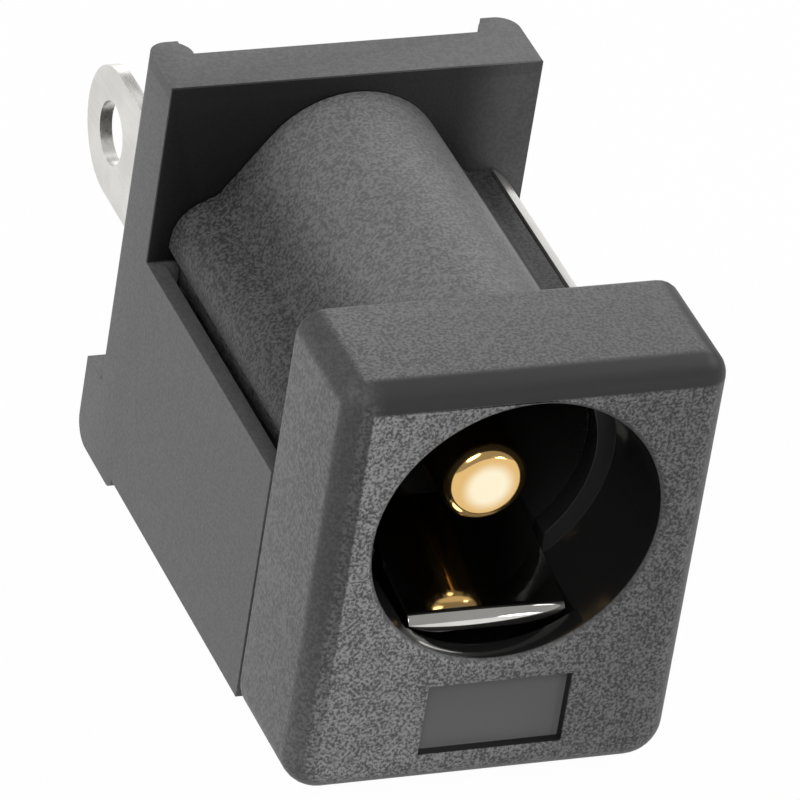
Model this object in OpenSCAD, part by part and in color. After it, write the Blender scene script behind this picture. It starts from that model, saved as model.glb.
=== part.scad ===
// DC barrel jack for a 5.5 mm plug with a 2 mm centre pin, with solder lugs.
// A moulded front housing sits in a moulded base that carries the rear wall.
// Two formed side contacts and a riveted centre pin end in lugs behind the wall.
// Lengths run back from the front face, heights run up from the board.

/* [Front bezel] */
// Width of the bezel
bezel_w = 9; // [8.9:0.1:10]
// Height of the bezel above the plug axis
bezel_rise = 4.1; // [4:0.05:4.3]
// Depth of the bezel from front to back
bezel_d = 3.4; // [2.8:0.1:4.2]
// Radius of the bezel's corners, seen from the front
bezel_corner_r = 0.9; // [0.7:0.05:1.2]
// Radius of the edge round the front face
bezel_edge_r = 0.62; // [0.3:0.02:0.7]
// Radius of the edge round the back
bezel_rear_r = 0.22; // [0.1:0.02:0.3]
// Width of the bare pad under the mouth
pad_w = 3.4; // [2:0.1:4]
// Height of the pad
pad_h = 1.85; // [1:0.05:1.9]
// Height of the pad's lower edge above the board
pad_low = 0.85; // [0.7:0.05:0.95]
// How far the pad sits to the right of the middle
pad_shift = 0.2; // [-0.3:0.05:0.3]
// Depth of the pad
pad_depth = 0.2; // [0.05:0.05:0.3]

/* [Socket] */
// Height of the plug axis above the board
axis_h = 6.6; // [6.5:0.05:6.8]
// Diameter of the mouth
mouth_d = 6.7; // [6.4:0.1:6.8]
// Depth of the mouth
mouth_l = 2.8; // [2.2:0.1:2.8]
// Width of the chamfer round the mouth
lead_in = 0.12; // [0.05:0.01:0.15]
// Diameter of the bore behind the bezel
bore_d = 5.8; // [5.7:0.05:5.9]
// Thickness of the wall behind the bore
end_t = 0.6; // [0.4:0.05:0.9]

/* [Barrel] */
// How far the crown lies below the bezel's top
crown_drop = 0.14; // [0.1:0.01:0.2]
// Radius of the crown
crown_r = 2.35; // [2.3:0.05:2.5]
// Slope of the flanks beside the crown, in degrees
flank_slope = 54; // [48:1:56]
// Width over the shoulders
shoulder_w = 8; // [7.94:0.02:8.04]
// Height of the shoulders above the plug axis
shoulder_rise = 1.4; // [1.36:0.02:1.5]
// Radius of the shoulders
shoulder_r = 1.05; // [0.9:0.05:1.15]
// Height of the ledges under the shoulders, above the plug axis
ledge_rise = 0.15; // [0.12:0.01:0.18]
// Radius of the hollow between flank and shoulder
hollow_r = 0.4; // [0.2:0.05:0.5]

/* [Base] */
// Width of the base
base_w = 8.9; // [8.86:0.02:9.2]
// Thickness of the side walls
wall_t = 0.4; // [0.32:0.02:0.44]
// How far the side walls end below the plug axis
wall_drop = 0.25; // [0.22:0.01:0.5]
// Height of the underside above the board
base_lift = 0.3; // [0.1:0.02:0.5]
// Thickness of the floor
floor_t = 0.6; // [0.5:0.05:0.7]
// Distance from the front face to the rear wall
back_y = 11.8; // [11.7:0.05:12.2]
// Thickness of the rear wall
back_t = 1.4; // [1.1:0.05:1.7]
// How far the rear wall stands above the bezel
back_rise = 0.25; // [0:0.05:0.6]
// Width of the ribs down the back
rib_w = 0.8; // [0.7:0.05:1]
// How far the ribs stand out
rib_d = 0.55; // [0.3:0.05:0.7]
// Radius of the ribs' outer corners
rib_r = 0.5; // [0.3:0.05:0.6]
// Height of the rear foot
foot_h = 2.15; // [2:0.05:3]
// How far the foot stands out from the rear wall
foot_d = 1.15; // [0.8:0.05:1.4]
// Length of the foot on the board
foot_l = 2.35; // [1.8:0.05:2.5]
// Radius of the foot's lower edge
foot_r = 0.6; // [0.2:0.05:0.7]

/* [Centre pin] */
// Diameter of the pin
pin_d = 2; // [1.95:0.05:2.5]
// Distance from the front face to the tip
pin_setback = 1.85; // [1:0.05:2.5]
// Radius round the tip
pin_tip_r = 0.26; // [0.1:0.02:0.4]
// Diameter of the riveted shank
shank_d = 1.3; // [1:0.05:1.5]
// Diameter of the rivet head
head_d = 2.2; // [1.9:0.05:2.4]
// Height of the rivet head
head_t = 0.28; // [0.2:0.02:0.3]
// Depth of the pocket for the pin terminal
pocket_d = 0.95; // [0.85:0.05:1]

/* [Lugs] */
// Thickness of the contact strip
strip_t = 0.3; // [0.25:0.01:0.3]
// Width of the lugs
lug_w = 3.14; // [2.8:0.02:3.3]
// How far the middle of the side lugs lies below the plug axis
lug_drop = 0.06; // [-0.1:0.02:0.2]
// How far a side lug's neck sits below the lug
neck_drop = 0.45; // [0.4:0.05:0.6]
// Distance from the front face to the end of the side lugs
lug_end = 18.4; // [17.6:0.05:20]
// Distance from the front face to the end of the pin lug
pin_lug_end = 18; // [17.4:0.05:19.5]
// Diameter of the wire holes
wire_hole_d = 1.5; // [1:0.05:1.8]
// Distance from the centre to the outside of the side contacts
contact_x = 3.6; // [3.55:0.01:3.64]
// How far the left contact's top edge lies below the plug axis
contact_drop = 0.85; // [0.65:0.05:1.1]
// Angle to which the right contact wraps over the shoulder
wrap_angle = 62; // [50:1:66]

/* [Sleeve spring] */
// Width of the spring leaf
leaf_w = 3.7; // [3:0.1:3.8]
// How far the leaf's front end lies below the plug axis
leaf_front_drop = 2.6; // [2.5:0.02:2.7]
// How far the leaf's crest lies below the plug axis
leaf_crest_drop = 1.9; // [1.8:0.02:2.1]
// Distance from the front face to the leaf's front end
leaf_front_y = 0.8; // [0.75:0.05:1.2]
// Distance from the front face to the crest
leaf_crest_y = 4.4; // [3.8:0.1:5]
// Distance from the front face to the switch arm's riser
arm_riser_y = 6.6; // [6:0.1:7]
// Width of the switch arm under the leaf
arm_w = 1.6; // [1.2:0.1:2]

/* [Fits] */
// Gap in the seam between housing and base
seam = 0.1; // [0.04:0.01:0.14]
// Clearance round a contact in its pocket
slip = 0.05; // [0.03:0.01:0.06]

/* [Hidden] */
$fn = 72;

front_y = -bezel_d / 2;                          // the origin is under the middle of the bezel
plastic = [0.17, 0.17, 0.18];
gold = [0.85, 0.66, 0.32];
nickel = [0.74, 0.74, 0.72];

floor_top = base_lift + floor_t;
base_half = base_w / 2;
inner_half = base_half - wall_t;                 // inside face of a side wall
back_end = back_y + back_t;
bezel_h = axis_h + bezel_rise;
back_h = bezel_h + back_rise;
wall_h = axis_h - wall_drop;
pocket_y = back_y - pocket_d;
socket_depth = pocket_y - end_t;
shoulder_h = axis_h + shoulder_rise;
ledge_h = axis_h + ledge_rise;
contact_h = axis_h - contact_drop;
contact_in = contact_x - strip_t;                // inside face of a side contact
body_half = contact_in - slip;                   // half width between the contacts
cheek_h = contact_h - 0.55;                      // top of the strip outside each contact
channel_half = leaf_w / 2 + 3 * slip;            // half width of the spring channel
channel_floor = floor_top + 1.1;
channel_y = leaf_front_y - 2 * slip;
web_z = floor_top + slip;                        // underside of the webs below the housing
leaf_front_h = axis_h - leaf_front_drop;
leaf_crest_h = axis_h - leaf_crest_drop;
riser_y = socket_depth - 0.6;                    // front of the leaf's riser
riser_top = leaf_front_h - 1.1;                  // start of the bend into the leaf
web_l = 1.8;                                     // length of a web along the jack
terminal_t = 0.35;
terminal_w = 2.8;
terminal_y = pocket_y + slip;
terminal_z = floor_top + 0.25;                   // underside of the pin lug
lug_r = lug_w / 2;
lug_h = axis_h - lug_drop;
lug_y = back_end + rib_d + slip;                 // where a side lug gets its full height
neck = [lug_h - lug_r - neck_drop, lug_h + lug_r - neck_drop];  // lower and upper edge of a lug's neck
hook_in = shoulder_r + slip;                     // inner radius of the wrap over the shoulder
hook_y = bezel_d + seam;                         // front end of the wrap
hook_l = back_y - slip - hook_y;
shoulder_x = shoulder_w / 2 - shoulder_r;
shoulder_z = shoulder_h - shoulder_r;
crown_z = bezel_h - crown_drop - crown_r;
flush_h = shoulder_h + strip_t / 2;              // the housing beside the wrap's end
web_under = ledge_h - slip - strip_t;            // underside of the wrap's outward web

// ---- Shapes ------------------------------------------------------------

// Moves a piece from front-face lengths into the frame of the whole jack
module placed() { translate([0, front_y, 0]) children(); }

// Extrudes a drawing of x and height along the jack
module along_y(y, length) {
    translate([0, y + length, 0]) rotate([90, 0, 0]) linear_extrude(length) children();
}

// Extrudes a drawing of length and height across the jack
module along_x(x, width) {
    translate([x, 0, 0]) rotate([90, 0, 90]) linear_extrude(width) children();
}

// Rectangle from its low corner to its high corner
module span(low, high) { translate(low) square(high - low); }

// Cylinder along the plug axis
module axis_rod(y, length, r1, r2) {
    translate([0, y + length, axis_h]) rotate([90, 0, 0]) cylinder(h = length, r1 = r2, r2 = r1);
}

// Points of a path with each inner corner rounded to radius r
function unit(v) = v / norm(v);
function corner(a, b, c, r, steps = 6) =
    let (u = unit(a - b), v = unit(c - b), half = acos(u * v) / 2,
         centre = b + unit(u + v) * r / sin(half),
         from = b + u * r / tan(half) - centre,
         to = b + v * r / tan(half) - centre,
         turn = atan2(from.x * to.y - from.y * to.x, from * to))
    [for (i = [0:steps]) let (w = turn * i / steps)
        centre + [from.x * cos(w) - from.y * sin(w), from.x * sin(w) + from.y * cos(w)]];
function rounded(p, r) =
    [p[0], for (i = [1:len(p) - 2]) each corner(p[i - 1], p[i], p[i + 1], r), p[len(p) - 1]];

// One side of a strip of thickness t laid along a path
function side(p, d) =
    [for (i = [0:len(p) - 1])
        let (a = p[max(i - 1, 0)], b = p[min(i + 1, len(p) - 1)], n = unit([a.y - b.y, b.x - a.x]))
        p[i] + n * d];
function reversed(p) = [for (i = [len(p) - 1:-1:0]) p[i]];

// Bent strip, drawn as its edge: the path is its middle line
module bent(path, t, r) {
    p = rounded(path, r);
    polygon(concat(side(p, t / 2), reversed(side(p, -t / 2))));
}

// ---- Front housing -----------------------------------------------------

// Side view of the bezel for a given height: large radii in front, small ones behind
module bezel_side(height) {
    e = bezel_edge_r;
    q = bezel_rear_r;
    span([0, e], [bezel_d - q, height - e]);
    span([e, 0], [bezel_d - q, height]);
    span([e, q], [bezel_d, height - q]);
    for (z = [e, height - e]) translate([e, z]) circle(e);
    for (z = [q, height - q]) translate([bezel_d - q, z]) circle(q);
}

// Block with the same edge rolled round all four corners
module bezel() {
    r = bezel_corner_r;
    along_x(r - bezel_w / 2, bezel_w - 2 * r) bezel_side(bezel_h);
    translate([-bezel_w / 2, 0, r]) linear_extrude(bezel_h - 2 * r)
        mirror([1, -1]) bezel_side(bezel_w);
    for (x = [r - bezel_w / 2, bezel_w / 2 - r], z = [r, bezel_h - r])
        translate([x, 0, z]) rotate([-90, 0, 0]) rotate_extrude() intersection() {
            translate([-r, 0]) mirror([1, -1]) bezel_side(2 * r);
            span([0, 0], [r, bezel_d]);
        }
}

// Section of the barrel above its ledges: a round crown, sloping flanks and two shoulders
module barrel_section() {
    translate([0, crown_z]) circle(crown_r);
    span([-shoulder_x, ledge_h], [shoulder_x, shoulder_h]);
    span([-shoulder_w / 2, ledge_h], [shoulder_w / 2, shoulder_z]);
    for (s = [-1, 1]) intersection() {
        translate([s * shoulder_x, shoulder_z]) circle(shoulder_r);
        span([-shoulder_w, ledge_h], [shoulder_w, shoulder_h]);
    }
    flank(shoulder_h);
    mirror([1, 0]) flank(shoulder_h);
    flank(flush_h);
    beside_wrap();
}

// Slope from the crown down to the right shoulder, ending in a round hollow
module flank(foot_z) {
    normal = [sin(flank_slope), cos(flank_slope)];
    reach = normal.y * crown_z + crown_r + hollow_r;
    centre = [(reach - normal.y * (foot_z + hollow_r)) / normal.x, foot_z + hollow_r];
    difference() {
        polygon([[0, ledge_h], [centre.x, ledge_h], centre, centre - hollow_r * normal,
                 [0, crown_z] + crown_r * normal, [0, crown_z]]);
        translate(centre) circle(hollow_r);
    }
}

// Raised strip of the right shoulder, flush with the end of the contact that wraps over it
module beside_wrap() {
    far = shoulder_w;
    intersection() {
        span([0, ledge_h], [shoulder_w / 2, flush_h]);
        translate([shoulder_x, shoulder_z]) rotate(wrap_angle) span([-far, slip], [far, far]);
    }
}

// Section of the block under the ledges, which stands between the two side contacts
module block_section() {
    span([-body_half, floor_top + slip], [body_half, ledge_h + slip]);
    for (s = [-1, 1])
        span([min(s * (contact_x + slip), s * (inner_half - slip)), floor_top + slip],
             [max(s * (contact_x + slip), s * (inner_half - slip)), cheek_h]);
    span([-(inner_half - slip), floor_top + slip], [inner_half - slip, channel_floor - slip]);
    span([-(contact_x + slip), contact_h + 2 * slip], [0, ledge_h + slip]);
}

// Slots under the block for the contacts and their webs
module contact_slots() {
    low = floor_top - slip;
    for (s = [-1, 1]) along_x(s < 0 ? -(contact_x + slip) : contact_in - slip, strip_t + 2 * slip)
        span([bezel_d, low], [back_y, cheek_h + slip]);
    web_top = web_z + 2 * strip_t + slip;
    for (y = [riser_y + strip_t - web_l, arm_riser_y + strip_t - web_l])
        along_x(-contact_x, 2 * contact_x) span([y - slip, low], [y + web_l + slip, web_top]);
}

module front_housing() {
    color(plastic) placed() difference() {
        union() {
            bezel();
            along_y(bezel_d - 1, back_y - slip - bezel_d + 1) barrel_section();
            along_y(bezel_d - 1, back_y - slip - bezel_d + 1) block_section();
        }
        axis_rod(-1, mouth_l + 1, mouth_d / 2, mouth_d / 2);
        axis_rod(0, socket_depth, bore_d / 2, bore_d / 2);
        axis_rod(-1, 1 + lead_in, mouth_d / 2 + lead_in + 1, mouth_d / 2);
        along_y(-1, 1 + pad_depth)
            span([pad_shift - pad_w / 2, pad_low], [pad_shift + pad_w / 2, pad_low + pad_h]);
        along_y(channel_y, socket_depth - channel_y) span([-channel_half, channel_floor], [channel_half, axis_h - 1]);
        for (y = [riser_y, arm_riser_y])
            along_x(-channel_half, 2 * channel_half)
                span([y - slip, floor_top - slip], [y + strip_t + slip, channel_floor + slip]);
        contact_slots();
        axis_rod(socket_depth - 1, back_y, shank_d / 2 + slip / 2, shank_d / 2 + slip / 2);
        along_y(pocket_y, back_y) span([-terminal_w / 2 - slip, floor_top - slip],
                                       [terminal_w / 2 + slip, axis_h + terminal_w / 2 + slip]);
    }
}

// ---- Base --------------------------------------------------------------

// Side view of the foot, round along its lower edges
module foot_side() {
    high = back_end + foot_d;
    low = high - foot_l;
    toe_r = foot_r / 2;
    span([low, toe_r], [high - foot_r, foot_h]);
    span([low, foot_r], [high, foot_h]);
    span([low + toe_r, 0], [high - foot_r, foot_r]);
    translate([low + toe_r, toe_r]) circle(toe_r);
    translate([high - foot_r, foot_r]) circle(foot_r);
}

// Plan of the rear wall with a rib at each side
module back_plan() {
    span([-base_half, back_y], [base_half, back_end]);
    for (s = [-1, 1]) {
        x = s * (base_half - rib_w);
        out = s * base_half;
        span([min(x, out - s * rib_r), back_end - 1], [max(x, out - s * rib_r), back_end + rib_d]);
        span([min(x, out), back_end - 1], [max(x, out), back_end + rib_d - rib_r]);
        translate([out - s * rib_r, back_end + rib_d - rib_r]) circle(rib_r);
    }
}

module base_shell() {
    front = bezel_d + seam;
    color(plastic) placed() difference() {
        union() {
            translate([-base_half, front, base_lift]) cube([base_w, back_end - front, floor_t]);
            for (x = [-base_half, inner_half])
                translate([x, front, base_lift]) cube([wall_t, back_end - front, wall_h - base_lift]);
            translate([0, 0, base_lift]) linear_extrude(back_h - base_lift) back_plan();
            along_x(-base_half, base_w) foot_side();
        }
        for (x = [-contact_x - slip, contact_in - slip])
            along_x(x, strip_t + 2 * slip)
                span([back_y - 1, neck[0] - slip], [back_end + 1, neck[1] + slip]);
        translate([-terminal_w / 2 - slip, back_y - 1, terminal_z - slip])
            cube([terminal_w + 2 * slip, back_t + foot_d + 2, terminal_t + 2 * slip]);
    }
}

// ---- Centre pin and its terminal ---------------------------------------

// Turned pin with a round-edged tip and a shank riveted over the terminal
module centre_pin() {
    head_y = terminal_y + terminal_t + slip / 2;
    color(gold) placed() {
        translate([0, pin_setback, axis_h]) rotate([-90, 0, 0]) rotate_extrude() {
            span([0, 0], [pin_d / 2 - pin_tip_r, pin_tip_r]);
            intersection() {
                translate([pin_d / 2 - pin_tip_r, pin_tip_r]) circle(pin_tip_r);
                span([0, 0], [pin_d, pin_d]);
            }
            span([0, pin_tip_r], [pin_d / 2, socket_depth - pin_setback]);
            span([0, 1], [shank_d / 2, head_y - pin_setback]);
            span([0, head_y - pin_setback], [head_d / 2, head_y - pin_setback + head_t]);
        }
    }
}

// Strip that stands behind the socket, hangs on the pin and turns back into a lug
module pin_terminal() {
    mid = terminal_y + terminal_t / 2;
    lug_mid = terminal_z + terminal_t / 2;
    eye = pin_lug_end - terminal_w / 2;
    bend_y = terminal_y + 3 * terminal_t;
    color(nickel) placed() {
        difference() {
            union() {
                along_y(terminal_y, terminal_t) {
                    translate([0, axis_h]) circle(terminal_w / 2);
                    span([-terminal_w / 2, terminal_z + 3 * terminal_t], [terminal_w / 2, axis_h]);
                }
                along_x(-terminal_w / 2, terminal_w)
                    bent([[mid, terminal_z + 3 * terminal_t], [mid, lug_mid], [bend_y, lug_mid]],
                         terminal_t, terminal_t);
            }
            axis_rod(terminal_y - 1, 3, shank_d / 2 + slip / 2, shank_d / 2 + slip / 2);
        }
        translate([0, 0, terminal_z]) linear_extrude(terminal_t) difference() {
            union() {
                span([-terminal_w / 2, bend_y], [terminal_w / 2, eye]);
                translate([0, eye]) circle(terminal_w / 2);
            }
            translate([0, eye]) circle(wire_hole_d / 2);
        }
    }
}

// ---- Side contacts -----------------------------------------------------

// Side view of a contact's plate: it stands beside the housing and runs back into a lug
module contact_side(top) {
    eye = lug_end - lug_r;
    difference() {
        union() {
            span([hook_y + slip, web_z + 2 * strip_t], [back_y - slip, top]);
            span([back_y - 2, neck[0]], [back_y, top]);
            span([back_y, neck[0]], [lug_y + 0.2, neck[1]]);
            span([lug_y, lug_h - lug_r], [eye, lug_h + lug_r]);
            translate([eye, lug_h]) circle(lug_r);
        }
        translate([eye, lug_h]) circle(wire_hole_d / 2);
    }
}

// Bend and web that carry the strip from a side plate under the housing
module web(y, reach) {
    mid = contact_x - strip_t / 2;
    web_mid = web_z + strip_t / 2;
    along_y(y, web_l)
        bent([[mid, web_z + 2 * strip_t + slip], [mid, web_mid], [-reach, web_mid]], strip_t, strip_t * 0.6);
}

// Right contact: wraps over the shoulder outside and carries the sleeve spring on its web
module sleeve_contact() {
    mid = contact_x - strip_t / 2;
    hook_mid = shoulder_x + hook_in + strip_t / 2;
    color(nickel) placed() {
        along_x(contact_in, strip_t) contact_side(web_under - strip_t);
        along_y(hook_y, hook_l) {
            bent([[mid, web_under - strip_t], [mid, web_under + strip_t / 2],
                  [hook_mid, web_under + strip_t / 2], [hook_mid, shoulder_z]], strip_t, strip_t * 0.6);
            translate([shoulder_x, shoulder_z]) wrap();
        }
        web(riser_y + strip_t - web_l, leaf_w / 2);
    }
}

// Arc of the strip over the shoulder
module wrap() {
    far = 2 * (hook_in + strip_t);
    difference() {
        circle(hook_in + strip_t);
        circle(hook_in);
        span([-far, -far], [far, 0]);
        rotate(wrap_angle) span([0, 0], [far, far]);
        span([-far, -far], [0, far]);
    }
}

// Spring for the plug's sleeve: a foot on the web, a riser, a crest and a turned-down lip
module sleeve_spring() {
    top = strip_t / 2;
    foot_z = web_z + 3 * top;
    color(nickel) placed() along_x(-leaf_w / 2, leaf_w)
        bent([[riser_y + strip_t - web_l, foot_z], [riser_y + top, foot_z],
              [riser_y + top, riser_top], [riser_y - 1.2, leaf_front_h - top - 0.1],
              [leaf_crest_y, leaf_crest_h - top], [leaf_front_y + top, leaf_front_h - top],
              [leaf_front_y + top, leaf_front_h - 0.42]], strip_t, 0.16);
}

// Left contact: a plate with a lug behind and a web for the switch arm
module switch_contact() {
    color(nickel) placed() mirror([1, 0, 0]) {
        along_x(contact_in, strip_t) contact_side(contact_h);
        web(arm_riser_y + strip_t - web_l, arm_w / 2);
    }
}

// Switch arm: rests under the spring's front end until a plug pushes that down
module switch_arm() {
    top = strip_t / 2;
    foot_z = web_z + 3 * top;
    slope = (leaf_crest_h - leaf_front_h) / (leaf_crest_y - leaf_front_y);
    touch_y = leaf_front_y + 1.6;
    touch_z = leaf_front_h + slope * (touch_y - leaf_front_y) - 2 * strip_t - slip;
    color(nickel) placed() along_x(-arm_w / 2, arm_w)
        bent([[arm_riser_y + strip_t - web_l, foot_z], [arm_riser_y + top, foot_z],
              [arm_riser_y + top, channel_floor + 0.5], [touch_y, touch_z],
              [touch_y - 0.7, touch_z - 0.3]], strip_t, 0.16);
}

front_housing();
base_shell();
centre_pin();
pin_terminal();
sleeve_contact();
sleeve_spring();
switch_contact();
switch_arm();
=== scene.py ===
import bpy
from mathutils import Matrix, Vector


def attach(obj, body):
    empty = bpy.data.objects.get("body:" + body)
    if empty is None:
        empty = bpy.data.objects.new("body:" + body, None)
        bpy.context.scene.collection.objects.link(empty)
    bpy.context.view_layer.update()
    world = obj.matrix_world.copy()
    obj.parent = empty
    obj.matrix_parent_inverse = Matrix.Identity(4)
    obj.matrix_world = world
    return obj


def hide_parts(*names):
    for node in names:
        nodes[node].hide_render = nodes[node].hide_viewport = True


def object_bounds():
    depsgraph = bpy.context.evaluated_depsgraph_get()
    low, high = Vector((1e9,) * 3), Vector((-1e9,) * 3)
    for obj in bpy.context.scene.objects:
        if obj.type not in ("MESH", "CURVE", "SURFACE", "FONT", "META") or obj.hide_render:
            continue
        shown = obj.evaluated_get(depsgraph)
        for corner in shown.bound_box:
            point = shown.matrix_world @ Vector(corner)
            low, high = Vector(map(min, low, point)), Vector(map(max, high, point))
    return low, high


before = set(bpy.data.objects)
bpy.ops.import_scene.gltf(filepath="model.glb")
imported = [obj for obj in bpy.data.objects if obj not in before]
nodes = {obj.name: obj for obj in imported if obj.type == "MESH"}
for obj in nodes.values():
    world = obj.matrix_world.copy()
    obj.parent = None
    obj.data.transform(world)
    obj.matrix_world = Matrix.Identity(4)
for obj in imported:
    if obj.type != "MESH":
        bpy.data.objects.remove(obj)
cadBox = [list(corner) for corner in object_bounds()]

import math

import bpy
from mathutils import Matrix, Vector

mm = 0.001
scene = bpy.context.scene
low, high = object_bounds()

# All sizes are in millimetres. A plug goes in along y, from the bezel's face towards the rear wall.
frontY = low.y / mm     # the bezel's front face
middleZ = 6.6           # the plug axis
print("frame read,", len(nodes), "nodes")


# Shader maths

class Sock:  # wraps a socket, so that sums and products read as plain expressions
    def __init__(self, shader, link):
        self.shader = shader
        self.link = link

    def op(self, operation, *others):
        return self.shader.add("ShaderNodeMath", {"operation": operation}, [self, *others])

    def __add__(self, other):
        return self.op("ADD", other)

    def __sub__(self, other):
        return self.op("SUBTRACT", other)

    def __rsub__(self, other):
        return self * -1 + other

    def __mul__(self, other):
        return self.op("MULTIPLY", other)

    __radd__ = __add__
    __rmul__ = __mul__

    def size(self):
        return self.op("ABSOLUTE")

    def least(self, other):
        return self.op("MINIMUM", other)

    def most(self, other):
        return self.op("MAXIMUM", other)

    def step(self, low, high, atLow=0.0, atHigh=1.0):  # a smooth change from low to high
        return self.shader.add("ShaderNodeMapRange", {"interpolation_type": "SMOOTHSTEP"},
                               [self, low, high, atLow, atHigh])

    def under(self, limit, soft):  # 1 below the limit, and 0 from a soft width above it
        return self.step(limit, limit + soft, 1, 0)

    def over(self, limit, soft):  # 0 below the limit, and 1 from a soft width above it
        return self.step(limit, limit + soft)


class Shader:  # the nodes of one material, or of the sky
    def __init__(self, owner):
        owner.use_nodes = True
        self.owner = owner
        self.tree = owner.node_tree
        self.tree.nodes.clear()
        self.place = None

    def add(self, kind, settings=None, inputs=(), out=0):
        node = self.tree.nodes.new(kind)
        for key, value in (settings or {}).items():
            setattr(node, key, value)
        pairs = inputs.items() if isinstance(inputs, dict) else enumerate(inputs)
        for key, value in pairs:
            if isinstance(value, Sock):
                self.tree.links.new(value.link, node.inputs[key])
            else:
                node.inputs[key].default_value = value
        return Sock(self, node.outputs[out]) if len(node.outputs) else None

    def here(self):  # the place on the piece, in metres
        if self.place is None:
            self.place = self.add("ShaderNodeTexCoord", out="Object")
        return self.place

    def axes(self):  # x, y and z of that place, in millimetres
        split = self.add("ShaderNodeSeparateXYZ", inputs=[self.here()])
        return [Sock(self, link) * (1 / mm) for link in split.link.node.outputs]

    def noise(self, perMm, detail, roughness=0.5, stretch=(1, 1, 1)):
        at = self.here()
        if stretch != (1, 1, 1):
            at = self.add("ShaderNodeMapping", inputs={"Vector": at, "Scale": stretch})
        return self.add("ShaderNodeTexNoise", inputs={
            "Vector": at, "Scale": perMm / mm, "Detail": detail, "Roughness": roughness})

    def blend(self, amount, low, high):  # a colour between two others
        return self.add("ShaderNodeMix", {"data_type": "RGBA"}, {0: amount, 6: low, 7: high}, out=2)

    def tint(self, amount):  # a grey of that amount, a trace bluer than neutral
        return self.add("ShaderNodeCombineColor", inputs=[amount, amount, amount * blueShare])

    def bump(self, height, depth):
        return self.add("ShaderNodeBump", inputs={
            "Strength": 1.0, "Distance": depth * mm, "Height": height})

    def finish(self, inputs):
        surface = self.add("ShaderNodeBsdfPrincipled", inputs=inputs)
        self.add("ShaderNodeOutputMaterial", inputs=[surface])
        return self.owner


blueShare = 1.01


def grey(value):
    return (value, value, value * blueShare, 1)


# Modelling steps

making = {
    "merge": 0.001,      # corners this near become one
    "flat": 0.5,         # degrees, up to which two faces become one
    "sharp": 38,         # degrees, from which an edge is broken
    "smooth": 32,        # degrees, up to which an edge is shaded smooth
    "same": 0.01,        # places this near count as the same
    "past": 1.0,         # how far a cutting tool stands past the surface
    "roundSides": 96,
}


def deselect():
    bpy.ops.object.select_all(action="DESELECT")


def only(piece):
    deselect()
    piece.select_set(True)
    bpy.context.view_layer.objects.active = piece


def mergeCorners(piece, flat=None):  # and joins the faces that lie flat, where an angle is given
    only(piece)
    bpy.ops.object.mode_set(mode="EDIT")
    bpy.ops.mesh.select_all(action="SELECT")
    bpy.ops.mesh.remove_doubles(threshold=making["merge"] * mm)
    if flat:
        bpy.ops.mesh.dissolve_limited(angle_limit=math.radians(flat))
    bpy.ops.object.mode_set(mode="OBJECT")


def copyOf(node, name):  # a CAD node's mesh as a new piece
    piece = bpy.data.objects.new(name, nodes[node].data.copy())
    scene.collection.objects.link(piece)
    mergeCorners(piece)
    return piece


def box(lowCorner, highCorner):
    deselect()
    middle = [(a + b) / 2 * mm for a, b in zip(lowCorner, highCorner)]
    bpy.ops.mesh.primitive_cube_add(size=1, location=middle)
    made = bpy.context.object
    made.scale = [(b - a) * mm for a, b in zip(lowCorner, highCorner)]
    bpy.ops.object.transform_apply(location=True, rotation=False, scale=True)
    return made


def rod(radius, fromY, toY, endRadius=None):  # along the plug axis
    deselect()
    bpy.ops.mesh.primitive_cone_add(
        vertices=making["roundSides"],
        radius1=radius * mm,
        radius2=(endRadius or radius) * mm,
        depth=(toY - fromY) * mm,
        location=(0, (fromY + toY) / 2 * mm, middleZ * mm),
        rotation=(-math.pi / 2, 0, 0))
    bpy.ops.object.transform_apply(location=True, rotation=True, scale=True)
    return bpy.context.object


def cut(piece, tool):
    only(piece)
    change = piece.modifiers.new("cut", "BOOLEAN")
    change.operation = "DIFFERENCE"
    change.solver = "EXACT"
    change.object = tool
    bpy.ops.object.modifier_apply(modifier="cut")
    bpy.data.objects.remove(tool)


def roundEdges(piece, width, segments, chosen):  # rounds the edges whose ends a and b are chosen
    only(piece)
    mesh = piece.data
    marks = mesh.attributes.new("bevel_weight_edge", "FLOAT", "EDGE")
    for edge in mesh.edges:
        a, b = (mesh.vertices[i].co / mm for i in edge.vertices)
        marks.data[edge.index].value = float(chosen(a, b))
    bevel = piece.modifiers.new("round", "BEVEL")
    bevel.limit_method = "WEIGHT"
    bevel.width = width * mm
    bevel.segments = segments
    bpy.ops.object.modifier_apply(modifier="round")
    marks = piece.data.attributes.get("bevel_weight_edge")
    if marks:
        piece.data.attributes.remove(marks)


def breakEdges(piece, width, segments):  # a small bevel on every sharp edge
    bevel = piece.modifiers.new("edges", "BEVEL")
    bevel.width = width * mm
    bevel.segments = segments
    bevel.limit_method = "ANGLE"
    bevel.angle_limit = math.radians(making["sharp"])
    bevel.use_clamp_overlap = True
    bpy.ops.object.modifier_apply(modifier="edges")


def dressed(piece, node, look, finish):
    mergeCorners(piece, making["flat"])
    if look["edge"]:
        breakEdges(piece, look["edge"], look["segments"])
    bpy.ops.object.shade_smooth_by_angle(angle=math.radians(making["smooth"]))
    piece.data.materials.clear()
    piece.data.materials.append(finish)
    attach(piece, "root")
    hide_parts(node)
    print(piece.name, "made,", len(piece.data.polygons), "faces")


# The front housing, in two pieces: the bezel, and the barrel behind it

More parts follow.
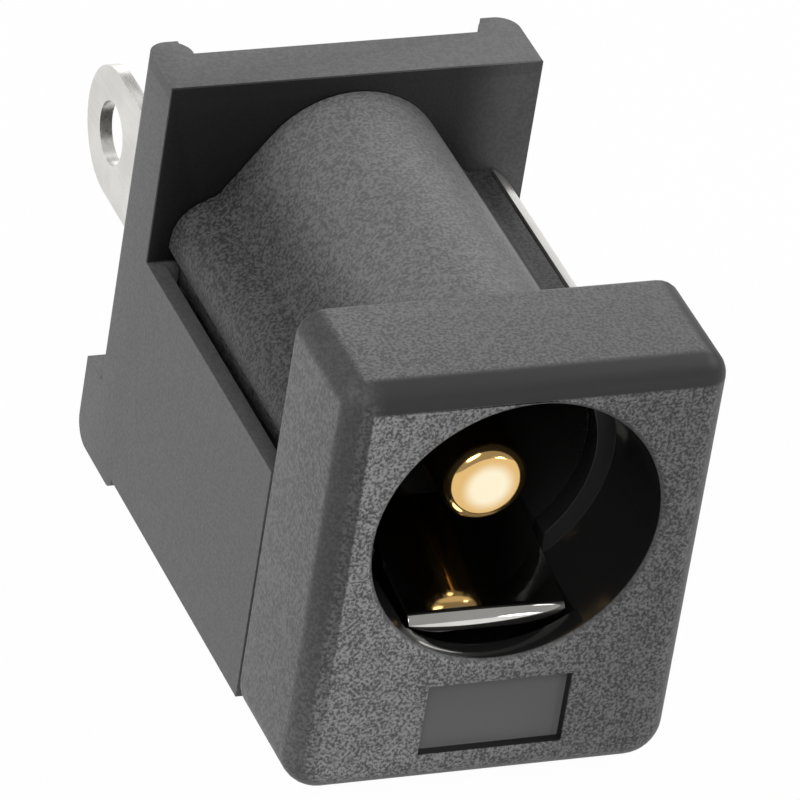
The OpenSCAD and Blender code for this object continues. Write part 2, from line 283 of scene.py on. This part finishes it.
bezelLook = {
    "halfWidth": high.x / mm,
    "height": 10.7,
    "depth": 3.4,
    "topCorner": 0.64,              # radii of its edges
    "lowCorner": 0.9,
    "front": 0.62,
    "rear": 0.16,
    "mouth": 3.35,                  # radius and depth of the mouth
    "mouthDepth": 2.8,
    "bore": 2.9,                    # radius of the socket behind it
    "leadIn": 0.12,                 # chamfer round the mouth
    "channelSide": 2.0,             # half width, floor and front of the spring channel
    "channelFloor": 2.0,
    "channelFront": 0.7,
    "pad": (-1.5, 1.9, 0.85, 2.7),  # left, right, low and high edges of the recessed pad
    "padDepth": 0.28,
    "edge": 0.035,
    "segments": 2,
    "steps": {"topCorner": 6, "lowCorner": 8, "front": 8, "rear": 3},  # segments of its roundings
    "slot": "housing_plastic",
}

barrelLook = {
    "front": 3.402,                 # just behind the bezel, so that no sliver of the bezel stays on it
    "flankFoot": (3.26, 8.0),       # x and z of the step at the foot of its flanks
    "footNear": 0.02,               # how near in x a corner has to be, to belong to it
    "footDrop": 0.047,              # the step's height, which is levelled
    "edge": 0.05,
    "segments": 3,
    "slot": "housing_plastic",
}

plasticLook = {
    "grainPerMm": 13.0,
    "grainDepth": 0.01,
    "grainSpread": 0.16,            # distance from the noise's middle value to a pit or a tip
    "broadShare": 0.2,              # a broader noise's share in it, and its scale
    "broadScale": 0.3,
    "sideGrain": 0.2,               # strength of the grain away from the front face
    "speckle": 0.15,                # and how much it varies the tone there
    "roughness": 0.5,
    "insideRoughness": 0.12,
    "shine": 0.25,
    "pit": 0.075,                   # front face, in the pits of the grain and on its tips
    "tip": 0.31,
    "paintedLightLeft": 1.36,               # painted light across the front face: a factor at its left, and a painted-shade factor at its right
    "paintedShadeRight": 0.7,
    "plain": 0.112,                 # sides of the bezel
    "bezelTopShade": 0.75,               # painted shade on its flat top: the share of that tone left there
    "barrel": 0.138,                # crown of the barrel, and its flanks below, painted far darker as painted shade
    "flank": 0.012,
    "flankTop": 8.4,                # height where the flank's tone ends, and where the crown's begins
    "crownFoot": 9.9,
    "flankShade": 0.35,             # painted shade next to the bezel: the share of the flank's tone that is left there
    "shadeEnd": 8.0,                # distance behind the face where that painted shade ends
    "smoothEdgeShade": 0.033,              # painted shade on the smooth edges of the bezel
    "smoothShadedFoot": 0.3,                # how much of that smooth, painted-shade edge there is at the foot, and at the left
    "smoothShadedLeft": 0.7,
    "inside": 0.016,                # mouth, socket and channel; also the painted shade on the pad's walls
    "pad": 0.16,                    # floor of the pad
}


def grainOf(shader, look):  # fine erosion marks, from 0 in a pit to 1 on a tip
    share, spread = look["broadShare"], look["grainSpread"]
    fine = shader.noise(look["grainPerMm"], 2, 0.6)
    broad = shader.noise(look["grainPerMm"] * look["broadScale"], 2)
    return (fine * (1 - share) + broad * share).step(0.5 - spread, 0.5 + spread)


def speckled(tone, grain, amount):
    return tone * grain.step(0, 1, 1 - amount, 1 + amount)


def distanceFromAxis(x, z):  # of the plug
    above = z - middleZ
    return (x * x + above * above).op("SQRT")


def housingPlastic(look, bezel):
    shader = Shader(bpy.data.materials.new("sparkErodedPlastic"))
    x, y, z = shader.axes()
    side = x.size()
    behind = y - frontY
    fromAxis = distanceFromAxis(x, z)
    grain = grainOf(shader, look)
    strong = behind.step(0.02, 0.1, 1, look["sideGrain"])  # the grain is full on the front face alone

    # Smooth edges without grain, painted darker as painted shade: the rounding at the left and the top of
    # the face, and the upper corners.
    # Here and below, the last number of each under and over is the width that it fades across.
    fromEdge = (bezel["halfWidth"] + x).least(bezel["height"] - z)
    rim = fromEdge.under(bezel["front"] - 0.04, 0.08) * behind.under(bezel["front"] - 0.2, 0.18)
    fromCorner = (bezel["halfWidth"] - side).most(bezel["height"] - z)
    corner = fromCorner.under(bezel["topCorner"] - 0.24, 0.22) * behind.under(bezel["depth"] - 0.1, 0.15)
    smooth = rim.most(corner) * z.step(0.5, 6.5, look["smoothShadedFoot"], 1)
    smooth = smooth * x.step(-4.2, -3.5, look["smoothShadedLeft"], 1)

    # Inside the mouth, the socket and the channel
    mouth = fromAxis.under(bezel["mouth"] + 0.02, 0.06) * behind.under(bezel["mouthDepth"] + 0.1, 0.1)
    bore = fromAxis.under(bezel["bore"] + 0.05, 0.05)
    channel = side.under(bezel["channelSide"] + 0.02, 0.04) * z.over(bezel["channelFloor"] - 0.1, 0.05)
    channel = channel * z.under(middleZ - 1.6, 0.1) * behind.over(bezel["channelFront"] - 0.4, 0.1)
    inside = bore.most(mouth).most(channel) * behind.over(bezel["leadIn"] - 0.01, 0.05)

    # The recessed pad, with painted shade on its walls
    left, right, low, high = bezel["pad"]
    across = (x - (left + right) / 2).size().under((right - left) / 2, 0.01)
    upright = (z - (low + high) / 2).size().under((high - low) / 2, 0.01)
    inPad = across * upright * behind.over(0.03, 0.03) * behind.under(1, 0.1)
    # painted shade on the pad's walls, in the inside tone, and the pad's own tone on its floor
    padTone = behind.step(bezel["padDepth"] - 0.03, bezel["padDepth"] - 0.01, look["inside"], look["pad"])

    # Tones of the barrel and of the bezel's sides, with painted shade on the barrel's flanks and on the
    # bezel's flat top
    flank = z.step(look["flankTop"], look["crownFoot"], 1, 0)
    shade = behind.step(bezel["depth"], look["shadeEnd"], look["flankShade"], 1)
    barrelTone = flank * shade * look["flank"] + (1 - flank) * look["barrel"]
    onBarrel = behind.over(bezel["depth"], 0.05)
    tone = barrelTone * onBarrel + look["plain"] * (1 - onBarrel)
    # painted shade on the bezel's flat top
    tone = tone * (z - bezel["height"]).step(-0.06, -0.02, 1, look["bezelTopShade"])

    colour = grain.step(0, 1, look["pit"], look["tip"])
    # painted light at the face's left, fading to painted shade at its right
    colour = colour * x.step(-bezel["halfWidth"], bezel["halfWidth"], look["paintedLightLeft"], look["paintedShadeRight"])
    tone = shader.tint(speckled(tone, grain, look["speckle"]))
    colour = shader.blend(strong, tone, shader.tint(colour))
    # painted shade on the smooth edges
    colour = shader.blend(smooth, colour, grey(look["smoothEdgeShade"]))
    colour = shader.blend(inPad, colour, shader.tint(padTone))
    colour = shader.blend(inside, colour, grey(look["inside"]))
    relief = grain * strong * (1 - smooth) * (1 - inside) * (1 - inPad)
    return shader.finish({
        "Base Color": colour,
        "Roughness": (1 - inside) * look["roughness"] + inside * look["insideRoughness"],
        "Specular IOR Level": look["shine"],
        "Normal": shader.bump(relief, look["grainDepth"])})


def frontBezel(look, finish):
    side, tall = look["halfWidth"], look["height"]
    same, past = making["same"], making["past"]
    rearY = frontY + look["depth"]
    piece = box((-side, frontY, 0), (side, rearY, tall))
    piece.name = "bezel_finished"
    rounded = {  # which edges each rounding takes, by their ends
        "topCorner": lambda a, b: abs(a.y - b.y) > same and a.z > middleZ,
        "lowCorner": lambda a, b: abs(a.y - b.y) > same and a.z < same,
        "front": lambda a, b: max(a.y, b.y) < frontY + same,
        "rear": lambda a, b: min(a.y, b.y) > rearY - same,
    }
    for part, chosen in rounded.items():
        roundEdges(piece, look[part], look["steps"][part], chosen)
    cut(piece, rod(look["mouth"], frontY - past, frontY + look["mouthDepth"]))
    wide = look["mouth"] + past + look["leadIn"]  # the lead-in's cone, where it stands past the face
    cut(piece, rod(wide, frontY - past, frontY + look["leadIn"], look["mouth"]))
    cut(piece, rod(look["bore"], frontY + past, rearY + past))
    half, insideBore = look["channelSide"], middleZ - 1
    cut(piece, box((-half, frontY + look["channelFront"], look["channelFloor"]),
                   (half, rearY + past, insideBore)))
    left, right, low, high = look["pad"]
    cut(piece, box((left, frontY - past, low), (right, frontY + look["padDepth"], high)))
    dressed(piece, "front_housing", look, finish)


def barrel(look, finish):
    piece = copyOf("front_housing", "barrel_finished")
    footX, footZ = look["flankFoot"]
    for point in piece.data.vertices:
        atX = abs(abs(point.co.x / mm) - footX) < look["footNear"]
        if atX and abs(point.co.z / mm - footZ) < making["same"]:
            point.co.z -= look["footDrop"] * mm
    wide, tall = 6, 12  # well past the housing's sides and top
    cut(piece, box((-wide, frontY - making["past"], -1), (wide, frontY + look["front"], tall)))
    dressed(piece, "front_housing", look, finish)


housing = housingPlastic(plasticLook, bezelLook)
frontBezel(bezelLook, housing)
barrel(barrelLook, housing)


# The centre pin

pinLook = {
    "radius": 1.0,
    "tip": 1.85,                        # from the bezel's face to the tip
    "round": 0.36,                      # radius of the tip's edge
    "length": 1.5,                      # how much of the pin is made anew
    "middle": (1.0, 0.92, 0.70, 1),     # the tip's middle, painted pale as a painted highlight, and the turning marks on it
    "marks": (1.0, 0.88, 0.62, 1),
    "amber": (0.78, 0.50, 0.19, 1),     # a deeper amber, painted shade towards the tip's edge and on the shaft
    "amberFrom": 0.34,                  # distance from the axis
    "amberTo": 0.7,
    "marksPerMm": 9,
    "markDepth": 0.002,
    "roughness": 0.12,
    "edge": 0,
    "slot": "pin_brass",
}


def turnedGold(look):
    shader = Shader(bpy.data.materials.new("goldPlatedPin"))
    x, _, z = shader.axes()
    # painted light on the tip: a pale painted highlight in its middle, and painted shade in amber towards
    # its edge
    amber = distanceFromAxis(x, z).step(look["amberFrom"], look["amberTo"])
    marks = shader.noise(look["marksPerMm"], 2, stretch=(0.02, 1, 0.02))  # rings along the pin
    colour = shader.blend(marks.step(0.3, 0.7), look["middle"], look["marks"])
    colour = shader.blend(amber, colour, look["amber"])
    return shader.finish({
        "Base Color": colour,
        "Metallic": 1.0,
        "Roughness": look["roughness"],
        "Normal": shader.bump(marks, look["markDepth"])})


def centrePin(look, finish):  # the turned pin, with its front end made anew
    piece = copyOf("centre_pin", "pin_finished")
    tipY = frontY + look["tip"]
    joint = tipY + look["length"]
    wide = 2 * look["radius"]
    cut(piece, box((-wide, tipY - making["past"], middleZ - wide), (wide, joint, middleZ + wide)))
    end = rod(look["radius"], tipY, joint)
    roundEdges(end, look["round"], 8, lambda a, b: max(a.y, b.y) < tipY + making["same"])
    only(piece)
    end.select_set(True)
    bpy.ops.object.join()
    dressed(piece, "centre_pin", look, finish)


centrePin(pinLook, turnedGold(pinLook))


# The base shell

baseLook = {
    "tone": 0.15,
    "wall": 0.008,          # painted shadow on the front of the rear wall
    "wallFoot": 6.3,        # height of the ledge that the wall rises from
    "wallFront": 11.86,     # the wall's front, behind the bezel's face
    "wallTop": 10.6,
    "topShade": 0.8,        # painted shade on its top: the share of the tone left there
    "speckle": 0.12,
    "edge": 0.07,
    "segments": 3,
    "slot": "housing_plastic",
}


def basePlastic(look, plastic):
    shader = Shader(bpy.data.materials.new("mouldedBasePlastic"))
    x, y, z = shader.axes()
    grain = grainOf(shader, plastic)
    # Painted shadow on the front of the rear wall, and painted shade on its top
    wallShadow = z.over(look["wallFoot"], 0.1) * (y - frontY).under(look["wallFront"], 0.02)
    wallShadow = wallShadow * x.step(2.4, 4.0, 1, 0.5)  # the painted shadow is weaker at the right
    tone = look["tone"] * (1 - wallShadow) + look["wall"] * wallShadow
    tone = tone * z.step(look["wallTop"], look["wallTop"] + 0.08, 1, look["topShade"])
    return shader.finish({
        "Base Color": shader.tint(speckled(tone, grain, look["speckle"])),
        "Roughness": plastic["roughness"],
        "Specular IOR Level": plastic["shine"],
        "Normal": shader.bump(grain, plastic["grainDepth"] * plastic["sideGrain"])})


dressed(copyOf("base_shell", "base_shell_finished"), "base_shell", baseLook,
        basePlastic(baseLook, plasticLook))


# The contacts and their springs

nickel = {
    "pale": (0.70, 0.69, 0.66, 1),
    "dull": (0.62, 0.61, 0.58, 1),
    "cloudPerMm": 0.8,      # pale and dull clouds
    "rollPerMm": 5,         # rolling marks along the strip
}
plateLook = {"roughness": 0.3, "markDepth": 0.002}
springLook = {"roughness": 0.07, "markDepth": 0.0004}

stampedLooks = {            # no bevel fits between the bends of the two contacts
    "pin_terminal": {"edge": 0.03, "segments": 2, "slot": "plated_strip"},
    "sleeve_contact": {"edge": 0, "slot": "plated_strip"},
    "switch_contact": {"edge": 0, "slot": "plated_strip"},
    "sleeve_spring": {"edge": 0.03, "segments": 2, "slot": "spring_strip"},
    "switch_arm": {"edge": 0.03, "segments": 2, "slot": "spring_strip"},
}


def nickelStrip(name, look):
    shader = Shader(bpy.data.materials.new(name))
    rolled = shader.noise(nickel["rollPerMm"], 3, 0.6, stretch=(1, 0.1, 1))
    clouds = shader.noise(nickel["cloudPerMm"], 2).step(0.35, 0.65)
    return shader.finish({
        "Base Color": shader.blend(clouds, nickel["pale"], nickel["dull"]),
        "Metallic": 1.0,
        "Roughness": rolled.step(0.3, 0.7, look["roughness"] * 0.8, look["roughness"] * 1.2),
        "Normal": shader.bump(rolled, look["markDepth"])})


stripFinishes = {
    "plated_strip": nickelStrip("nickelPlatedStrip", plateLook),
    "spring_strip": nickelStrip("polishedSpring", springLook),
}
for node, look in stampedLooks.items():
    dressed(copyOf(node, node + "_finished"), node, look, stripFinishes[look["slot"]])


# Floor, light and camera

white = (1, 1, 1, 1)

studio = {
    "worldGrey": 0.08,      # what the sky gives to plain surfaces
    "worldShine": 0.4,      # and what polished ones see of it
    "floorGrey": (0.8, 0.8, 0.8, 1),
    "floorDrop": 0.01,      # gap between the object and the floor
    "floorSize": 4000,
    "floorGlow": 0.3,       # the floor's light on the object
    "whiteShare": 0.975,    # how far the camera sees plain white instead of the lit floor
    "middle": (0, 4, 5),    # the point that the lamps aim at
    "lamps": {              # azimuth and elevation in degrees, then distance, width and watts
        "leftLamp": (-100, 40, 170, 90, 0.142),
        "rightLamp": (80, 40, 170, 90, 0.122),
        "cameraLamp": (-25, 40, 170, 90, 0.106),
        "backLamp": (130, 40, 170, 90, 0.062),
        "lowBackLamp": (160, 10, 170, 90, 0.031),
        "frontLamp": (30, 2, 170, 30, 0.022),
    },
}

cameraView = {
    "aim": (-0.182, 4.902, 5.712),
    "azimuth": -25.65,      # azimuth, elevation and roll are in degrees
    "elevation": 33.073,
    "roll": 9.509,
    "distance": 216.31,
    "lens": 438.49,
    "nearest": 20,
    "furthest": 3000,
}


def whiteFloor():
    deselect()
    drop = studio["floorDrop"] * mm
    bpy.ops.mesh.primitive_plane_add(size=studio["floorSize"] * mm, location=(0, 0, cadBox[0][2] - drop))
    floor = bpy.context.object
    floor.name = "floor"
    shader = Shader(bpy.data.materials.new("paleFloor"))
    seen = shader.add("ShaderNodeLightPath", out="Is Camera Ray")
    for ray in ("Is Glossy Ray", "Is Transmission Ray"):
        seen = seen + shader.add("ShaderNodeLightPath", out=ray)
    lit = shader.add("ShaderNodeBsdfDiffuse", inputs=[studio["floorGrey"]])
    plain = shader.add("ShaderNodeEmission", inputs=[white, 1.0])
    glow = shader.add("ShaderNodeEmission", inputs=[white, studio["floorGlow"]])
    shown = shader.add("ShaderNodeMixShader", inputs=[studio["whiteShare"], lit, plain])
    mixed = shader.add("ShaderNodeMixShader", inputs=[seen, glow, shown])
    shader.add("ShaderNodeOutputMaterial", inputs=[mixed])
    floor.data.materials.append(shader.owner)


def towards(azimuth, elevation):  # from the object, with azimuth 0 in front of it
    az, el = math.radians(azimuth), math.radians(elevation)
    return Vector((math.sin(az) * math.cos(el), -math.cos(az) * math.cos(el), math.sin(el)))


def softLamp(name, azimuth, elevation, distance, width, watts):
    deselect()
    way = towards(azimuth, elevation)
    middle = Vector(studio["middle"]) * mm
    bpy.ops.object.light_add(type="AREA", location=middle + way * distance * mm)
    lamp = bpy.context.object
    lamp.name = name
    lamp.data.shape = "DISK"
    lamp.data.size = width * mm
    lamp.data.energy = watts
    lamp.rotation_mode = "QUATERNION"
    lamp.rotation_quaternion = (-way).to_track_quat("-Z", "Y")


def paleSky():
    shader = Shader(bpy.data.worlds.new("paleSky"))
    shown = shader.add("ShaderNodeBackground", inputs=[white, studio["worldGrey"]])
    for ray, strength in (("Is Glossy Ray", studio["worldShine"]), ("Is Camera Ray", 1.0)):
        seen = shader.add("ShaderNodeLightPath", out=ray)
        sky = shader.add("ShaderNodeBackground", inputs=[white, strength])
        shown = shader.add("ShaderNodeMixShader", inputs=[seen, shown, sky])
    shader.add("ShaderNodeOutputWorld", inputs=[shown])
    scene.world = shader.owner


def productCamera(view):
    deselect()
    back = towards(view["azimuth"], view["elevation"])
    bpy.ops.object.camera_add(location=Vector(view["aim"]) * mm + back * view["distance"] * mm)
    camera = bpy.context.object
    camera.data.lens = view["lens"]
    camera.data.clip_start = view["nearest"] * mm
    camera.data.clip_end = view["furthest"] * mm
    turn = (-back).to_track_quat("-Z", "Y").to_matrix()
    roll = Matrix.Rotation(math.radians(view["roll"]), 3, "Z")
    camera.rotation_mode = "QUATERNION"
    camera.rotation_quaternion = (turn @ roll).to_quaternion()
    scene.camera = camera


whiteFloor()
for name, lamp in studio["lamps"].items():
    softLamp(name, *lamp)
paleSky()
productCamera(cameraView)
scene.view_settings.view_transform = "Standard"
print("floor, light and camera made")
